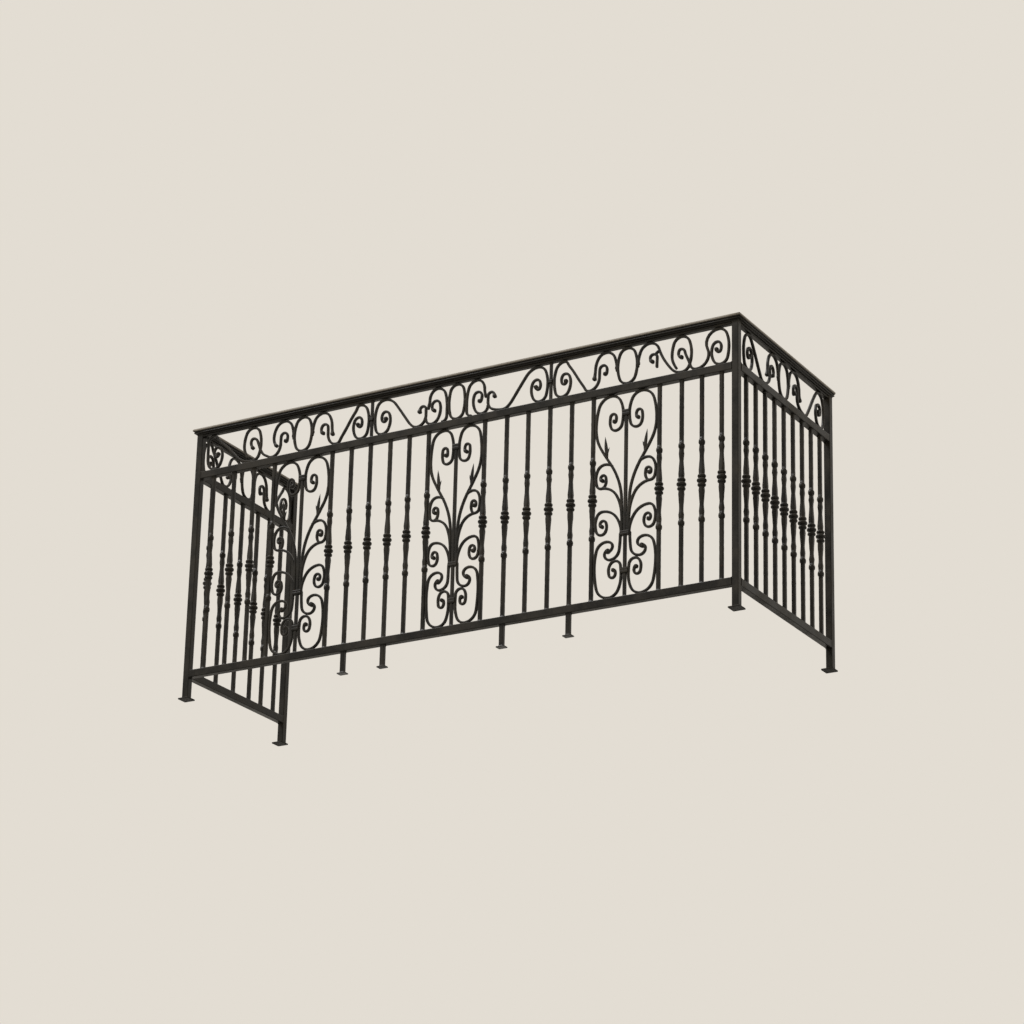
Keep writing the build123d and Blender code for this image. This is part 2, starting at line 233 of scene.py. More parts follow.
def tube_outline(wide, tall, radius, steps=4):
    """Rectangle with quarter circles at its corners, and one more point at each end of a flat.

    The added points lie 0.6 radius in from the rounding and keep its shading off the flat.
    """
    quarter = np.radians(np.linspace(0, 90, steps + 1))
    arc = np.stack([np.cos(quarter), np.sin(quarter)], 1) * radius
    corner = np.concatenate([[[radius, -0.6 * radius]], arc, [[-0.6 * radius, radius]]])
    points = []
    for turn, sign in enumerate(([1, 1], [-1, 1], [-1, -1], [1, -1])):
        c, s = np.cos(turn * np.pi / 2), np.sin(turn * np.pi / 2)
        middle = np.array(sign) * [wide / 2 - radius, tall / 2 - radius]
        points.append(corner @ np.array([[c, s], [-s, c]]) + middle)
    return np.concatenate(points)


def sweep(line, travel, side, outline, factor=1.0):
    """Carries an outline along a line: point = line + factor * (a * side + b * (travel x side)).

    travel, side, outline and factor each hold for the whole line or have one entry a ring.
    """
    line = np.asarray(line, float)
    travel, side = (np.broadcast_to(np.asarray(v, float), line.shape) for v in (travel, side))
    across = np.cross(travel, side)
    outline = np.broadcast_to(outline, (len(line),) + np.shape(outline)[-2:]) * np.reshape(factor, (-1, 1, 1))
    return line[:, None] + outline[..., :1] * side[:, None] + outline[..., 1:] * across[:, None]


def upright(x, y, z, outline, factor):
    """Rings of an outline over one place, each at its height z and times its factor."""
    z = np.asarray(z, float)
    line = np.stack([np.full_like(z, x), np.full_like(z, y), z], 1)
    return sweep(line, UP, ALONG_FRONT, outline, factor)


def straight(start, end, outline, side, weld=0.0, half=1.0):
    """A bar from start to end that stands out by weld * exp(-(distance / TUBE_WELD_LONG) ** 2) at each end.

    half is the outline's half width, by which the weld bead becomes a factor.
    """
    start, end = np.array(start, float), np.array(end, float)
    length = np.linalg.norm(end - start)
    near = np.array([0, 1.0, 2.2, 3.6, 5.5, 9.0]) * MM
    between = np.linspace(WELD_CLEAR, length - WELD_CLEAR, max(3, int(length / RING_STEP)))
    along = np.concatenate([near, between, length - near[::-1]])
    travel = (end - start) / length
    edge = np.minimum(along, length - along) / (TUBE_WELD_LONG * MM)
    grow = 1 + weld / half * np.exp(-(edge**2))
    return sweep(start + travel * along[:, None], travel, side, outline, grow)


def square_bar(x, low_z, high_z, wide, corner):
    """An upright square bar in the front's plane, with a weld bead at each end."""
    start, end = (x, FRONT_LINE_Y, low_z), (x, FRONT_LINE_Y, high_z)
    return straight(start, end, tube_outline(wide, wide, corner), ALONG_FRONT, sizes().weld, wide / 2)


def domed(line, travel, side, factor, reach):
    """Rounds off both ends of a bar: rings go on by reach * sin(phi) and shrink by cos(phi)."""
    phi = np.radians(np.linspace(0, 85, DOME_RINGS + 1)[1:])
    back = phi[::-1]
    ahead = line[0] - travel[0] * reach * factor[0] * np.sin(back)[:, None]
    beyond = line[-1] + travel[-1] * reach * factor[-1] * np.sin(phi)[:, None]
    line = np.concatenate([ahead, line, beyond])
    travel, side = (np.pad(v, ((DOME_RINGS, DOME_RINGS), (0, 0)), mode="edge") for v in (travel, side))
    factor = np.concatenate([factor[0] * np.cos(back), factor, factor[-1] * np.cos(phi)])
    return line, travel, side, factor


def wander(length, seed):
    """Hammered thickness along a bar: slow sines of the length, of 31, 17 and 8 mm, divided by 1, 2 and 3.

    1.4 is their usual peak, so that the thickness wanders by the hammering's share.
    """
    length = np.asarray(length, float) / MM
    waves = [np.sin(length / wave * 2 * np.pi + seed * k) / k for k, wave in ((1, 31), (2, 17), (3, 8))]
    return 1 + sizes().hammer * sum(waves) / 1.4


def skin(name, grids, nodes):
    """Links the rings of every grid by quads and caps their ends, as one mesh in place of its nodes."""
    slots = {row["node"]: row["material_slot"] for row in frame["record"]["subparts"]}
    points, faces, start = [], [], 0
    for grid in grids:
        rows, count = grid.shape[:2]
        i, j = np.meshgrid(np.arange(rows - 1), np.arange(count), indexing="ij")
        k = (j + 1) % count
        quads = np.stack([i * count + j, i * count + k, (i + 1) * count + k, (i + 1) * count + j], -1)
        faces += (quads.reshape(-1, 4) + start).tolist()
        faces.append((start + np.arange(count)[::-1]).tolist())
        faces.append((start + (rows - 1) * count + np.arange(count)).tolist())
        points.append(grid.reshape(-1, 3))
        start += rows * count
    mesh = bpy.data.meshes.new(name)
    mesh.from_pydata(np.concatenate(points).tolist(), [], faces)
    caps = np.array([len(face) > 4 for face in faces])
    mesh.polygons.foreach_set("use_smooth", ~caps)
    mesh.materials.append(paint_of(slots[nodes[0]]))
    if mesh.validate():
        raise RuntimeError(f"{name} has faulty faces")
    piece = bpy.data.objects.new(name, mesh)
    bpy.context.scene.collection.objects.link(piece)
    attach(piece, BODY)
    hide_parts(*nodes)
    return piece


# Posts, rails, plates and feet
def tube_grids():
    """Every square tube by its node: posts upright, rails along X or Y with a weld bead at each post."""
    grids = {}
    radius, weld = sizes().tube_round, sizes().weld
    for node in frame["nodes"]:
        start, end = centre(node), centre(node)
        size = high(node) - low(node)
        if "_post_" in node and "_plate_" not in node:
            start[2], end[2] = low(node)[2], high(node)[2]
            grids[node] = straight(start, end, tube_outline(size[0], size[1], radius), ALONG_FRONT)
        elif node.startswith(("bottom_rail", "middle_rail", "top_bar")):
            along = 0 if node.endswith("front") else 1
            start[along], end[along] = low(node)[along], high(node)[along]
            outline = tube_outline(size[2], size[1 - along], min(radius, size[2] * 0.25))
            grids[node] = straight(start, end, outline, UP, weld, size[2] / 2)
    return grids


def plate_grid(node):
    """A base plate as five rings on its box, with a small round at its lower and upper edges."""
    size, middle = high(node) - low(node), centre(node)
    z = [0, 0.4 * MM, PLATE_TALL - 1.4 * MM, PLATE_TALL - 0.5 * MM, PLATE_TALL]
    outline = tube_outline(size[0], size[1], 2 * MM)
    return upright(middle[0], middle[1], z, outline, [0.985, 1, 1, 0.985, 0.94])


def fillet_grid(node):
    """The concave weld fillet round a post's foot: rings that draw in from 4 mm outside the post to its face.

    At a wall post nothing stands out, because its plate is flush with the wall.
    """
    post = centre(node.replace("post_plate", "post"))
    z = PLATE_TALL + np.array([-0.4, 0, 0.8, 2.2, 4.2, 4.6]) * MM
    outwards = np.array([4.0, 3.9, 2.6, 1.2, 0.15, -0.5]) * MM
    factor = 1 + outwards / (POST_SIZE / 2)
    if "wall" in node:
        factor = np.minimum(factor, 1.0)
    return upright(post[0], post[1], z, tube_outline(POST_SIZE, POST_SIZE, FILLET_CORNER), factor)


def feet_grids():
    """The short feet under the front rail, each a small plate and a square leg welded to plate and rail."""
    grids = []
    outline = tube_outline(FOOT_PLATE_WIDE, POST_SIZE, FOOT_CORNER)
    z = [0, 0.4 * MM, FOOT_PLATE_TALL - 1 * MM, FOOT_PLATE_TALL]
    for x in FEET_X:
        x *= STRETCH
        grids.append(upright(x, FRONT_LINE_Y, z, outline, [0.985, 1, 1, 0.95]))
        grids.append(square_bar(x, FOOT_PLATE_TALL - 0.5 * MM, BOTTOM_RAIL_UNDER, FOOT_LEG, FOOT_CORNER))
    return grids


# Handrail
def cap_section():
    """Half of the handrail's outline mirrored: small cove, lower bead, groove, bullnose and a crowned top.

    The cove is a quarter circle, and the bead and the bullnose are half circles on their centres.
    """
    thick, half = CAP_TOP - CAP_UNDER, POST_SIZE / 2
    bull, inner = NOSING_TALL / 2, CAP_REACH - CAP_STEP - CAP_BEAD
    quarter = np.radians(np.linspace(0, 90, 5))[:, None]
    turn = np.radians(np.linspace(-90, 90, 9))[:, None]
    start = [[half * 0.8, 0]]
    hollow = np.hstack([half + CAP_COVE * (1 - np.cos(quarter)), CAP_COVE * np.sin(quarter)])
    lower = np.hstack([inner + CAP_BEAD * np.cos(turn), CAP_COVE + CAP_BEAD * (1 + np.sin(turn))])
    groove = [[inner, thick - NOSING_TALL]]
    nosing = np.hstack([CAP_REACH + bull * (np.cos(turn) - 1), thick + bull * (np.sin(turn) - 1)])
    nosing[-1, 1] -= 0.2 * MM
    crown = [[CAP_REACH * 0.4, thick]]
    right = np.vstack([start, hollow, lower, groove, nosing, crown])
    return np.vstack([right, right[::-1] * [-1, 1]])


def handrail_grid():
    """One moulding along the three runs, with rings square to them and a mitre at each corner.

    The offset of a mitre is (n1 + n2) / (1 + n1 . n2), from the normals of its two runs. The rings next to a
    mitre keep clear of its inner corner, and those next to an end keep the end's shading off the sides.
    """
    corners = np.array([
        [-SIDE_X, WALL_Y["left"], CAP_UNDER],
        [-SIDE_X, FRONT_LINE_Y, CAP_UNDER],
        [SIDE_X, FRONT_LINE_Y, CAP_UNDER],
        [SIDE_X, WALL_Y["right"], CAP_UNDER],
    ])
    off_mitre = CAP_REACH + MITRE_CLEAR
    beside = [END_CLEAR, off_mitre, off_mitre, END_CLEAR]
    runs = corners[1:] - corners[:-1]
    lengths = np.linalg.norm(runs, axis=1)
    runs /= lengths[:, None]
    normals = np.stack([-runs[:, 1], runs[:, 0], np.zeros(3)], 1)
    mitres = (normals[:-1] + normals[1:]) / (1 + (normals[:-1] * normals[1:]).sum(1))[:, None]
    mitres = np.concatenate([normals[:1], mitres, normals[-1:]])
    lines, sides = [], []
    for k, (run, length) in enumerate(zip(runs, lengths)):
        along = np.linspace(beside[k], length - beside[k + 1], RUN_RINGS)[:, None]
        lines += [corners[k : k + 1], corners[k] + run * along]
        sides += [mitres[k : k + 1], np.broadcast_to(normals[k], (RUN_RINGS, 3))]
    line = np.concatenate([*lines, corners[3:]])
    side = np.concatenate([*sides, mitres[3:]])
    section = cap_section()
    rings = line[:, None] + section[None, :, :1] * side[:, None]
    rings[..., 2] += section[:, 1]
    return rings


# Forged balusters
def baluster_grid(x, y, seed):
    """A bar on the z axis: half size = shaft + taper to the knuckle + a swelling each side, with rings on it.

    With away as the distance from the knuckle's middle, the taper is TAPER_RISE * (1 - away / TAPER_LONG) and
    the swelling SWELL_RISE * exp(-((away - SWELL_PLACE) / SWELL_LONG) ** 2). A ring goes out to its reach by
    sqrt(1 - (distance / half height) ** 2). The outline is a circle at the rings, rounded at the knuckle's
    neck and the swellings, and nearly square elsewhere.
    """
    bottom, top = BOTTOM_RAIL_TOP / MM, MIDDLE_RAIL_UNDER / MM
    wave = np.sin(np.radians(np.linspace(-90, 90, 9)))
    fine = [KNUCKLE_HEIGHT + place + half * wave for place, half, _ in BALUSTER_RINGS]
    near = np.array([0, 1, 2.5, 5])
    between = np.linspace(bottom + 12, top - 12, 60)
    z = np.unique(np.concatenate([between, *fine, bottom + near, top - near]).round(3))
    away = np.abs(z - KNUCKLE_HEIGHT)
    swell = np.exp(-(((away - SWELL_PLACE) / SWELL_LONG) ** 2))
    taper = TAPER_RISE * np.clip(1 - away / TAPER_LONG, 0, 1)
    shaft = BALUSTER_HALF - WAIST_THINNER * (away < WAIST_WITHIN) + taper + SWELL_RISE * swell
    shaft = np.where(away < NECK_WITHIN, NECK_HALF, shaft) * wander(z * MM, seed)
    edge = np.minimum(z - bottom, top - z)
    shaft += sizes().weld / MM * np.exp(-((edge / BALUSTER_WELD_LONG) ** 2))
    neck = np.clip((SQUARE_BEYOND - away) / (SQUARE_BEYOND - ROUND_WITHIN), 0, 1)
    power = SHAFT_POWER - (SHAFT_POWER - SWELL_POWER) * swell - (SHAFT_POWER - NECK_POWER) * neck
    size = shaft
    for place, half, reach in BALUSTER_RINGS:
        bump = np.clip(1 - ((z - KNUCKLE_HEIGHT - place) / half) ** 2, 0, 1)
        inside = bump > 1e-9
        size = np.where(inside, np.maximum(size, shaft + (reach - shaft) * np.sqrt(bump)), size)
        power = np.where(inside, RING_POWER + (power - RING_POWER) * (1 - bump) ** 4, power)
    return upright(x, y, z * MM, squircle(power, 20), size * MM)


def bar_places():
    """Every group of balusters by its node, as (x, y) places."""
    places = {node: [(x * STRETCH, FRONT_LINE_Y) for x in row] for node, row in BAR_GROUPS.items()}
    for number, pair in enumerate(PANEL_SIDES, start=1):
        places[f"panel_{number}_side_bars"] = [(x * STRETCH, FRONT_LINE_Y) for x in pair]
    deep = (WALL_Y["left"] - FRONT_LINE_Y + POST_SIZE / 2) / DRAWN_LEFT_DEPTH
    places["balusters_left"] = [(-SIDE_X, FRONT_LINE_Y + y * deep) for y in LEFT_RETURN_BARS]
    pitch = (WALL_Y["right"] - POST_SIZE / 2 - FRONT_LINE_Y) / (RIGHT_RETURN_COUNT + 1)
    places["balusters_right"] = [(SIDE_X, FRONT_LINE_Y + pitch * (k + 1)) for k in range(RIGHT_RETURN_COUNT)]
    return places


# Scrolls
def bend(stations, rows=7):
    """Line through stations (u, z, heading) with two arcs between neighbours: points, headings and lengths.

    The arcs of a pair leave their stations along the headings and meet with one tangent. With alpha from an
    arc's tangent to its chord, point = start + chord * sin(s alpha) / sin(alpha), turned by s alpha from the
    tangent, and the heading there is the first one plus 2 s alpha.
    """
    stations = np.array(stations, float)
    place, turn = stations[:, :2], np.radians(stations[:, 2])
    tangent = np.stack([np.cos(turn), np.sin(turn)], 1)
    chord = place[1:] - place[:-1]
    along = (chord * (tangent[:-1] + tangent[1:])).sum(1)
    spread = 2 * (1 - (tangent[:-1] * tangent[1:]).sum(1))
    square = (chord**2).sum(1)
    reach = (square / (along + np.sqrt(along**2 + spread * square)))[:, None]
    middle = (place[:-1] + tangent[:-1] * reach + place[1:] - tangent[1:] * reach) / 2
    starts = np.stack([place[:-1], middle], 1).reshape(-1, 2)
    ends = np.stack([middle, place[1:]], 1).reshape(-1, 2)
    run = ends - starts
    facing = np.arctan2(run[:, 1], run[:, 0])
    first = (facing[0::2] - turn[:-1] + np.pi) % (2 * np.pi) - np.pi
    headings = np.stack([turn[:-1], turn[:-1] + 2 * first], 1).reshape(-1)
    alpha = ((facing - headings + np.pi) % (2 * np.pi) - np.pi)[:, None]
    s = np.linspace(0, 1, rows + 1)[None, :-1]
    safe = np.where(np.abs(alpha) < 1e-6, 1e-6, alpha)
    share = np.sin(s * safe) / np.sin(safe) * np.linalg.norm(run, axis=1)[:, None]
    aim = headings[:, None] + s * alpha
    points = starts[:, None] + share[..., None] * np.stack([np.cos(aim), np.sin(aim)], -1)
    points = np.concatenate([points.reshape(-1, 2), ends[-1:]])
    heading = (headings[:, None] + 2 * s * alpha).reshape(-1)
    heading = np.append(heading, headings[-1] + 2 * alpha[-1, 0])
    length = np.append(0, np.cumsum(np.linalg.norm(np.diff(points, axis=0), axis=1)))
    return points, heading, length


def fitted(stations, middle, side, hold, reach, drawn_low, real_low, rise):
    """Stations put in place on the given side of the middle, at the distance hold + (u - hold) * reach.

    Heights are counted from the drawn low end and scaled by rise, and headings turn with both scales.
    """
    u, z, turn = np.array(stations, float).T
    turn = np.radians(turn)
    turn = np.degrees(np.arctan2(rise * np.sin(turn), side * reach * np.cos(turn)))
    return np.stack([middle + side * (hold + (u - hold) * reach), real_low + (z - drawn_low) * rise, turn], 1)


def plane_point(plane, u, z, out=0.0):
    """A point of a flat side of the railing: u along it, z up, out away from its middle line, in metres."""
    u, z, out = np.broadcast_arrays(u, z, out)
    if plane == "front":
        return np.stack([u, FRONT_LINE_Y - out, z], -1)
    x = SIDE_X if plane == "right" else -SIDE_X
    return np.stack([x + out, u, z], -1)


def plane_way(plane, u, z):
    """A direction in a flat side of the railing: the step from its zero point to its point (u, z)."""
    return plane_point(plane, u, z) - plane_point(plane, 0.0, 0.0)


def scroll_grid(plane, stations, seed, eyes=(False, False)):
    """A forged bar along a bent line, hammered, domed at its ends and swollen at those that end in an eye.

    An eye makes the bar thicker by EYE_SWELL * exp(-(distance / EYE_LONG) ** 2).
    """
    points, heading, length = bend(stations)
    points, length = points * MM, length * MM
    line = plane_point(plane, points[:, 0], points[:, 1])
    travel = plane_way(plane, np.cos(heading), np.sin(heading))
    side = plane_way(plane, -np.sin(heading), np.cos(heading))
    factor = wander(length, seed)
    for is_eye, distance in zip(eyes, (length, length[-1] - length)):
        if is_eye:
            factor = factor * (1 + EYE_SWELL * np.exp(-((distance / (EYE_LONG * MM)) ** 2)))
    half = np.array([sizes().scroll_thick, sizes().scroll_deep]) / 2
    line, travel, side, factor = domed(line, travel, side, factor, half[0])
    return sweep(line, travel, side, squircle(sizes().scroll_power, 12)[0] * half, factor)


# Right half of a panel, from the part's source: stations (mm from the middle, mm up, heading), and which
# ends are eyes. FLANK is the middle line of a scroll that leans on a side bar, STEM of one at the centre bar.
FLANK = 114.8
STEM = 10.0
DRAWN_LOW = 113.7
DRAWN_HIGH = 855.3
COLLAR_Z = 339.0
LOW_COLLAR_Z = 203.0
HIGH_COLLAR_Z = 783.0
PANEL_STRANDS = [
    ([(STEM + 3, COLLAR_Z, 90), (STEM + 5, 466, 88), (58, 602, 58), (FLANK - 18, 668, 62), (FLANK, 744, 90),
      (58, DRAWN_HIGH, 180), (STEM + 2, HIGH_COLLAR_Z, 270), (40, 724, 0), (62, 758, 90), (49, 787, 180),
      (38, 771, 270), (46, 758, 0)], (False, True)),
    ([(52, 594, 40), (80, 604, 0), (FLANK - 1.8, 558, 270), (92, 517, 180), (74, 543, 90), (85, 565, 0),
      (95, 555, 270), (88, 546, 180)], (False, True)),
    ([(STEM + 4, 400, 90), (92, 517, 0)], (False, False)),
    ([(STEM + 5, COLLAR_Z, 90), (86, 431, 0), (FLANK - 1.6, 388, 270), (90, 346, 180), (70, 373, 90),
      (84, 397, 0), (95, 385, 270), (87, 376, 180)], (False, True)),
    ([(18, COLLAR_Z, 270), (55, 250, 0), (77, 272, 90), (63, 285, 180)], (False, True)),
    ([(66, 281, 180), (47, 299, 90), (72, 318, 0), (FLANK, 232, 270), (60, DRAWN_LOW, 180),
      (STEM + 4, 186, 90), (37, 243, 0), (61, 212, 270), (47, 184, 180), (35, 199, 90), (44, 211, 0)],
     (True, True)),
]
# Place up the panel, width and height of each collar, in millimetres
PANEL_COLLARS = [(COLLAR_Z, 38, 16), (LOW_COLLAR_Z, 30, 20), (HIGH_COLLAR_Z, 30, 22)]
COLLAR_DEEP = 16
COLLAR_CORNER = 2.2
# How far a collar draws in at its edges and at a groove, and a groove's width, as shares of its half sizes
COLLAR_DRAW_IN, GROOVE_DEEP, GROOVE_WIDE = 0.1, 0.06, 0.09
# Prongs of a leaf: foot, tip and half width in millimetres, and their common half depth and bow
LEAF_PRONGS = [((70, 620), (80, 708), 7.0), ((74, 634), (63, 666), 4.0), ((80, 636), (95, 664), 4.4)]
LEAF_DEEP, LEAF_BOW = 2.3, 1.6


def leaf_grid(plane, foot, tip, widest):
    """A pointed blade from foot to tip, bowed outwards, with a ridge along its middle from a pinched outline.

    With t from 0 to 1, half width = widest * sin(pi t ** 0.8) ** 0.85, half depth = LEAF_DEEP *
    sin(pi t ** 0.7) ** 0.7 and bow = LEAF_BOW * sin(pi t), all in millimetres.
    """
    t = np.linspace(0.0, 1.0, 15)
    flat = foot + (tip - foot) * t[:, None]
    aim = (tip - foot) / np.linalg.norm(tip - foot)
    line = plane_point(plane, flat[:, 0] * MM, flat[:, 1] * MM, LEAF_BOW * np.sin(np.pi * t) * MM)
    width = np.maximum(widest * np.sin(np.pi * t**0.8) ** 0.85, 0.35) * MM
    deep = np.maximum(LEAF_DEEP * np.sin(np.pi * t**0.7) ** 0.7, 0.3) * MM
    outline = squircle(1.5, 12) * np.stack([width, deep], -1)[:, None]
    return sweep(line, plane_way(plane, aim[0], aim[1]), plane_way(plane, -aim[1], aim[0]), outline)


def collar_grid(plane, u, z, wide, tall, deep, grooves=1):
    """A wrapped band: a rounded box that drops in at both edges and at each groove between its turns."""
    share = np.linspace(-1, 1, 25)
    factor = 1 - COLLAR_DRAW_IN * np.abs(share) ** 8
    for k in range(grooves):
        at = -1 + 2 * (k + 1) / (grooves + 1)
        factor = factor - GROOVE_DEEP * np.exp(-(((share - at) / GROOVE_WIDE) ** 2))
    line = plane_point(plane, u, z + share * tall / 2)
    outline = tube_outline(wide, deep, COLLAR_CORNER * MM, 3)
    return sweep(line, UP, plane_way(plane, 1.0, 0.0), outline, factor)


def seat():
    """Distance from a face to the middle line of a scroll bar that leans on it, in millimetres."""
    return SEAT_GAP + sizes().scroll_thick / MM / 2


def panel_grids(number):
    """Both halves of a scroll panel, its leaves and collars, from the stations on the right of its middle."""
    left, right = (x * STRETCH / MM for x in PANEL_SIDES[number - 1])
    middle = (left + right) / 2
    reach = ((right - left) / 2 - BALUSTER_HALF - seat() - STEM) / (FLANK - STEM)
    panel_low, panel_high = BOTTOM_RAIL_TOP / MM + seat(), MIDDLE_RAIL_UNDER / MM - seat()
    rise = (panel_high - panel_low) / (DRAWN_HIGH - DRAWN_LOW)

    def placed(stations, side):
        """Stations of this panel, on one side of its middle."""
        return fitted(stations, middle, side, STEM, reach, DRAWN_LOW, panel_low, rise)

    grids = []
    for side in (1, -1):
        for seed, (strand, eyes) in enumerate(PANEL_STRANDS):
            grids.append(scroll_grid("front", placed(strand, side), seed + 7 * side + number, eyes))
        for foot, tip, widest in LEAF_PRONGS:
            ends = placed([(*foot, 0), (*tip, 0)], side)[:, :2]
            grids.append(leaf_grid("front", ends[0], ends[1], widest))
    for z, wide, tall in PANEL_COLLARS:
        height = (panel_low + (z - DRAWN_LOW) * rise) * MM
        grids.append(collar_grid("front", middle * MM, height, wide * MM, tall * MM, COLLAR_DEEP * MM))
    return grids


# Frieze stations from the part's source, in millimetres outwards from the middle of a ring
BAND_LOW = 890.7
BAND_HIGH = 1024.8
BAND_MID = (BAND_LOW + BAND_HIGH) / 2
EYE_OUT = 110.0
ARCH_START = RING_WIDTH / 2 + 3
SLOPE_SPAN = 182.0
# How far the return's friezes stop short of the posts, on the side of the front and of the wall
RETURN_INSETS = {"left": {-1: 0.0, 1: 0.0}, "right": {-1: 37.0, 1: 22.0}}
# How far the front's friezes stop short of the middle line of a frieze bar
BAR_CLEAR = 8.5


def ring_outline(width):
    """The closed ring in the middle of a frieze."""
    half = width / 2
    return [(half, BAND_MID, 90), (0, BAND_HIGH, 180), (-half, BAND_MID, 270), (0, BAND_LOW, 0),
            (half, BAND_MID, 90)]


def arch():
    """An arch that springs from the ring and comes down to a hanging eye."""
    return [(ARCH_START, 946, 90), (ARCH_START + 44, BAND_HIGH, 0), (ARCH_START + 85, 970, 273),
            (ARCH_START + 89, 932, 278)]


def loop_start(stop):
    """A scroll's eye and the tall loop round it, which leans on the face at stop."""
    near = stop - seat()
    return [(near - 47, 950, 270), (near - 39, 938, 0), (near - 29, 956, 90), (near - 44, 977, 180),
            (near - 66, 941, 270), (near - 32, BAND_LOW, 0), (near, 956, 90), (near - 40, BAND_HIGH, 180)]


def slope(stop, valley):
    """The tall loop, and from its top a slope down to a valley on the middle rail."""
    near = stop - seat()
    slack = SLOPE_SPAN - (near - valley)
    return loop_start(stop) + [(near - 87 + 0.6 * slack, 1000, 234), (near - 142 + 0.7 * slack, 920, 236),
                               (valley, BAND_LOW, 180)]


def eye_end(shift=0.0):
    """The rise out of a valley to a small eye under the arch."""
    out = EYE_OUT - shift
    return [(out, 937, 90), (out - 15, 978, 180), (out - 30, 960, 270), (out - 21, 944, 0)]


def half_motif(stop):
    """One half of a plain frieze: loop, slope and eye in one strand, and the arch."""
    return [(slope(stop, 0.5 * stop + 2) + eye_end(), (True, True)), (arch(), (False, True))]


def middle_motif(stop):
    """One half of the front's middle frieze, where a spiral stands under the arch."""
    tip = [(129, 930, 90), (142, 967, 0), (156, 947, 272)]
    spiral = [(129, 916, 270), (105, BAND_LOW, 180), (68, 945, 90), (87, 978, 0), (104, 960, 270),
              (93, 941, 180)]
    foot_arch = [(60, BAND_LOW, 180), (41, 945, 90), (82, BAND_HIGH, 0), (114, 985, 270), (119, 953, 275)]
    return [(slope(stop, stop - 186) + tip, (True, True)), (spiral, (False, True)),
            (foot_arch, (False, False))]


def left_end_motif(stop):
    """The half beside the left corner post, with an oval after the tall loop."""
    oval = stop / 2
    first = loop_start(stop - 16)[:-1] + [
        (stop - 43, BAND_HIGH, 180), (stop - 80, 994, 220), (oval, BAND_LOW, 180),
        (oval - 37, BAND_MID, 90), (oval, BAND_HIGH, 0), (oval + 38, BAND_MID, 270),
        (oval + 20, BAND_LOW + 18, 238)]
    second = [(oval - 1, 943, 60), (oval + 8, 966, 90), (oval - 2, 981, 180), (oval - 30, 944, 252),
              (oval - 62, 901, 205), (136, BAND_LOW, 180)]
    curled_arch = [(ARCH_START, 946, 90), (ARCH_START + 44, BAND_HIGH, 0), (ARCH_START + 88, 965, 270),
                   (ARCH_START + 75, 932, 225)]
    return [(first, (True, False)), (second + eye_end(12), (True, True)), (curled_arch, (False, True))]


def right_end_motif(stop):
    """The half beside the right corner post, where the arch runs on into an oval."""
    oval = stop / 2 + 7
    long_arch = [(ARCH_START, 946, 90), (ARCH_START + 46, BAND_HIGH, 0), (ARCH_START + 104, 948, 301),
                 (oval, BAND_LOW, 0), (oval + 38, BAND_MID, 90), (oval, BAND_HIGH, 180),
                 (oval - 37, BAND_MID, 270), (oval - 20, BAND_LOW + 18, 302)]
    inner_eye = [(oval + 58, BAND_LOW, 180), (oval + 20, 944, 115), (oval - 2, 978, 180),
                 (oval - 12, 962, 270), (oval, 947, 0)]
    hook = [(115, 930, 90), (116, 968, 90), (101, 980, 180), (89, 967, 270), (98, 953, 0)]
    link = [(112, 980, 60), (126, 990, 20)]
    return [(long_arch, (False, False)), (loop_start(stop - 11) + inner_eye, (True, True)),
            (hook, (False, True)), (link, (False, False))]


def frieze_grids(plane, ring_at, ring_width, motifs):
    """Scrolls about one ring: motifs holds the strands for each direction, and the ring closes on itself."""
    frieze_low, frieze_high = MIDDLE_RAIL_TOP / MM + seat(), TOP_BAR_UNDER / MM - seat()
    rise = (frieze_high - frieze_low) / (BAND_HIGH - BAND_LOW)

    def placed(stations, side):
        """Stations of this frieze, on one side of its ring."""
        return fitted(stations, ring_at, side, 0, 1, BAND_LOW, frieze_low, rise)

    grids = []
    for side, strands in motifs.items():
        for seed, (stations, eyes) in enumerate(strands):
            grids.append(scroll_grid(plane, placed(stations, side), seed + 3 * side + ring_at, eyes))
    grids.append(scroll_grid(plane, placed(ring_outline(ring_width), 1), ring_at))
    wide, tall = FRIEZE_COLLAR_WIDE * MM, FRIEZE_COLLAR * MM
    for sign in (-1, 1):
        u = (ring_at + sign * (ring_width / 2 + 3)) * MM
        z = (frieze_low + frieze_high) / 2 * MM
        grids.append(collar_grid(plane, u, z, wide, tall, tall, 0))
    return grids


def front_friezes():
    """The three friezes of the front by their nodes: place and width of the ring, and the two motifs."""
    left_ring, middle_ring, right_ring = (x * STRETCH / MM for x in RING_MIDDLES)
    left_bar, right_bar = (x * STRETCH / MM for x in FRIEZE_BARS_X)
    clear = CLEAR_X / MM
    return {
        "frieze_front_left": (left_ring, RING_WIDTH, {
            -1: left_end_motif(clear + left_ring),
            1: half_motif(left_bar - left_ring - BAR_CLEAR)}),
        "frieze_front_middle": (middle_ring, MIDDLE_RING_WIDTH, {
            -1: middle_motif(middle_ring - left_bar - BAR_CLEAR),
            1: middle_motif(right_bar - middle_ring - BAR_CLEAR)}),
        "frieze_front_right": (right_ring, RING_WIDTH, {
            1: right_end_motif(clear - right_ring),
            -1: half_motif(right_ring - right_bar - BAR_CLEAR)}),
    }


def return_frieze_grids(side):
    """The frieze of a return, about a ring in the middle between its two posts."""
    start, end = FRONT_LINE_Y + POST_SIZE / 2, CLEAR_WALL_Y[side]
    middle, stop = (start + end) / 2 / MM, (end - start) / 2 / MM
    motifs = {sign: half_motif(stop - inset) for sign, inset in RETURN_INSETS[side].items()}
    return frieze_grids(side, middle, RING_WIDTH, motifs)


